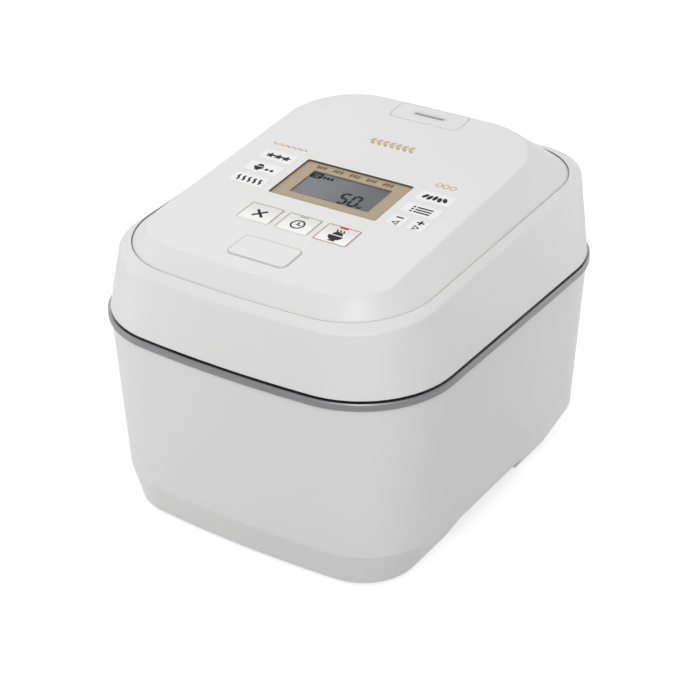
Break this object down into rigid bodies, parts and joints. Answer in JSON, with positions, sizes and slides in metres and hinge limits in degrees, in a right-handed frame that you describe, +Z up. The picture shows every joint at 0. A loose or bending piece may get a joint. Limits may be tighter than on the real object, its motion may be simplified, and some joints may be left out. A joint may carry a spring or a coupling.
{
  "type": "rice cooker",
  "caption": "Countertop induction rice cooker: white box body, hinged lid with sloping key panel, display and steam cap, removable pot inside.",
  "frame": {"origin": "on the table, under the middle of the trim band's plan", "axes": "+Z up, +X to the right seen from the front, the front with the lid release faces -Y"},
  "size_m": [0.266, 0.3214, 0.2399],
  "materials": {
    "white_plastic": "gloss",
    "white_key": "satin",
    "metal_trim": "brushed",
    "grey_plastic": "matte",
    "dark_plastic": "matte",
    "rubber": "matte",
    "silicone": "satin",
    "steel": "brushed",
    "pot_metal": "satin",
    "aluminium": "satin",
    "copper": "satin",
    "ferrite": "matte",
    "board": "satin",
    "parts": "satin",
    "bezel": "satin",
    "window": "gloss",
    "lcd": "satin"
  },
  "bodies": {
    "base": {"base_tray": "white_plastic", "feet": "rubber", "base_screws": "steel", "outer_casing": "white_plastic", "trim_band": "metal_trim", "upper_frame": "grey_plastic", "frame_screws": "steel", "latch_catch": "steel", "pot_well": "aluminium", "inner_pot": "pot_metal", "side_heater": "aluminium", "coil_carrier": "dark_plastic", "induction_coil": "copper", "ferrite_bars": "ferrite", "sensor_holder": "dark_plastic", "sensor_spring": "steel", "power_board": "board", "board_parts": "parts", "heat_sink": "aluminium", "fan_housing": "dark_plastic", "cord_outlet": "dark_plastic", "hinge_bracket": "steel", "hinge_shaft": "steel", "hinge_springs": "steel"},
    "lid": {"lid_shell": "white_plastic", "top_panel": "white_plastic", "display_bezel": "bezel", "display_window": "window", "lcd_module": "lcd", "control_board": "board", "tact_switches": "parts", "lid_liner": "grey_plastic", "lid_heater": "aluminium", "inner_lid": "steel", "inner_lid_gasket": "silicone", "steam_duct": "grey_plastic", "duct_seal": "silicone", "lid_screws": "steel", "hinge_arms": "grey_plastic", "latch_pin": "steel", "latch_spring": "steel"},
    "sensor": {"centre_sensor": "aluminium"},
    "fan": {"fan_rotor": "dark_plastic"},
    "latch": {"latch_lever": "dark_plastic"},
    "release": {"release_button": "white_plastic"},
    "steam_cap": {"steam_cap": "white_plastic", "steam_cup": "grey_plastic", "cap_packing": "silicone"},
    "key_cancel": {"key_cancel": "white_key"},
    "key_timer": {"key_timer": "white_key"},
    "key_cook": {"key_cook": "white_key"},
    "key_left_1": {"key_left_1": "white_key"},
    "key_left_2": {"key_left_2": "white_key"},
    "key_left_3": {"key_left_3": "white_key"},
    "key_right_1": {"key_right_1": "white_key"},
    "key_right_2": {"key_right_2": "white_key"},
    "key_back": {"key_back": "white_key"},
    "key_next": {"key_next": "white_key"}
  },
  "joints": [
    {"name": "lid_hinge", "type": "hinge", "parent": "base", "child": "lid", "pos_m": [0, 0.1547, 0.1623], "axis": [-1, 0, 0], "range_deg": [0, 88]},
    {"name": "release_press", "type": "slide", "parent": "lid", "child": "release", "axis": [0, 0.1024, -0.9947], "range_m": [0, 0.003], "stiffness_N_per_m": 900, "springref_m": -0.001},
    {"name": "latch_swing", "type": "hinge", "parent": "lid", "child": "latch", "pos_m": [0, -0.141, 0.185], "axis": [-1, 0, 0], "range_deg": [0, 6.3]},
    {"name": "steam_cap_lift", "type": "slide", "parent": "lid", "child": "steam_cap", "axis": [0, -0.1024, 0.9947], "range_m": [0, 0.04]},
    {"name": "sensor_plunge", "type": "slide", "parent": "base", "child": "sensor", "axis": [0, 0, -1], "range_m": [0, 0.003], "stiffness_N_per_m": 500, "springref_m": -0.002, "deforming": ["sensor_spring"]},
    {"name": "fan_spin", "type": "hinge", "parent": "base", "child": "fan", "pos_m": [0, 0.105, 0.0139], "axis": [0, 0, 1], "continuous": true},
    {"name": "key_cancel_press", "type": "slide", "parent": "lid", "child": "key_cancel", "axis": [0, 0.1024, -0.9947], "range_m": [0, 0.0006], "stiffness_N_per_m": 1500, "springref_m": -0.0003},
    {"name": "key_timer_press", "type": "slide", "parent": "lid", "child": "key_timer", "axis": [0, 0.1024, -0.9947], "range_m": [0, 0.0006], "stiffness_N_per_m": 1500, "springref_m": -0.0003},
    {"name": "key_cook_press", "type": "slide", "parent": "lid", "child": "key_cook", "axis": [0, 0.1024, -0.9947], "range_m": [0, 0.0006], "stiffness_N_per_m": 1500, "springref_m": -0.0003},
    {"name": "key_left_1_press", "type": "slide", "parent": "lid", "child": "key_left_1", "axis": [0, 0.1024, -0.9947], "range_m": [0, 0.0006], "stiffness_N_per_m": 1500, "springref_m": -0.0003},
    {"name": "key_left_2_press", "type": "slide", "parent": "lid", "child": "key_left_2", "axis": [0, 0.1024, -0.9947], "range_m": [0, 0.0006], "stiffness_N_per_m": 1500, "springref_m": -0.0003},
    {"name": "key_left_3_press", "type": "slide", "parent": "lid", "child": "key_left_3", "axis": [0, 0.1024, -0.9947], "range_m": [0, 0.0006], "stiffness_N_per_m": 1500, "springref_m": -0.0003},
    {"name": "key_right_1_press", "type": "slide", "parent": "lid", "child": "key_right_1", "axis": [0, 0.1024, -0.9947], "range_m": [0, 0.0006], "stiffness_N_per_m": 1500, "springref_m": -0.0003},
    {"name": "key_right_2_press", "type": "slide", "parent": "lid", "child": "key_right_2", "axis": [0, 0.1024, -0.9947], "range_m": [0, 0.0006], "stiffness_N_per_m": 1500, "springref_m": -0.0003},
    {"name": "key_back_press", "type": "slide", "parent": "lid", "child": "key_back", "axis": [0, 0.1024, -0.9947], "range_m": [0, 0.0006], "stiffness_N_per_m": 1500, "springref_m": -0.0003},
    {"name": "key_next_press", "type": "slide", "parent": "lid", "child": "key_next", "axis": [0, 0.1024, -0.9947], "range_m": [0, 0.0006], "stiffness_N_per_m": 1500, "springref_m": -0.0003}
  ],
  "couplings": [
    {"joint": "latch_swing", "follows": "release_press", "rad_per_m": 36}
  ]
}
